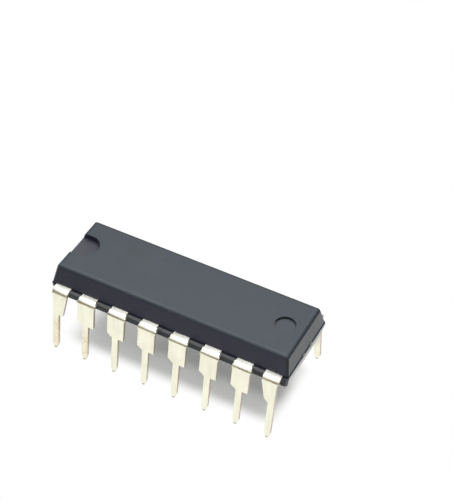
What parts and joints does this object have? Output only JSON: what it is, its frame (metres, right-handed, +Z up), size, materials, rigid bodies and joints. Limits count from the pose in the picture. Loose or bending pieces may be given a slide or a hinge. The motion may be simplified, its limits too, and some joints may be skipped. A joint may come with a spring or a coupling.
{
  "type": "dip integrated circuit chip",
  "caption": "Dual in-line integrated circuit chip: a drafted dark epoxy moulding with an end notch and two rows of bent, shouldered, pointed tin-plated leads.",
  "frame": {"origin": "under the middle of the moulding, in the plane that the lead tips stand on", "axes": "+X along the moulding, away from the notched end; -Y towards the row with lead 1; +Z up"},
  "size_m": [0.0194, 0.0088, 0.0071],
  "materials": {
    "epoxy": "satin, fine-grained",
    "tin_plate": "satin tin plate",
    "frame_copper": "bare copper alloy",
    "silver_adhesive": "dull, silver-filled",
    "silicon": "polished silicon",
    "gold": "drawn gold wire"
  },
  "bodies": {
    "root": {"moulded_body": "epoxy", "die_paddle": "frame_copper", "die_attach": "silver_adhesive", "silicon_die": "silicon", "lead_01": "tin_plate", "lead_02": "tin_plate", "lead_03": "tin_plate", "lead_04": "tin_plate", "lead_05": "tin_plate", "lead_06": "tin_plate", "lead_07": "tin_plate", "lead_08": "tin_plate", "lead_09": "tin_plate", "lead_10": "tin_plate", "lead_11": "tin_plate", "lead_12": "tin_plate", "lead_13": "tin_plate", "lead_14": "tin_plate", "lead_15": "tin_plate", "lead_16": "tin_plate", "bond_wire_01": "gold", "bond_wire_02": "gold", "bond_wire_03": "gold", "bond_wire_04": "gold", "bond_wire_05": "gold", "bond_wire_06": "gold", "bond_wire_07": "gold", "bond_wire_08": "gold", "bond_wire_09": "gold", "bond_wire_10": "gold", "bond_wire_11": "gold", "bond_wire_12": "gold", "bond_wire_13": "gold", "bond_wire_14": "gold", "bond_wire_15": "gold", "bond_wire_16": "gold"}
  },
  "joints": []
}
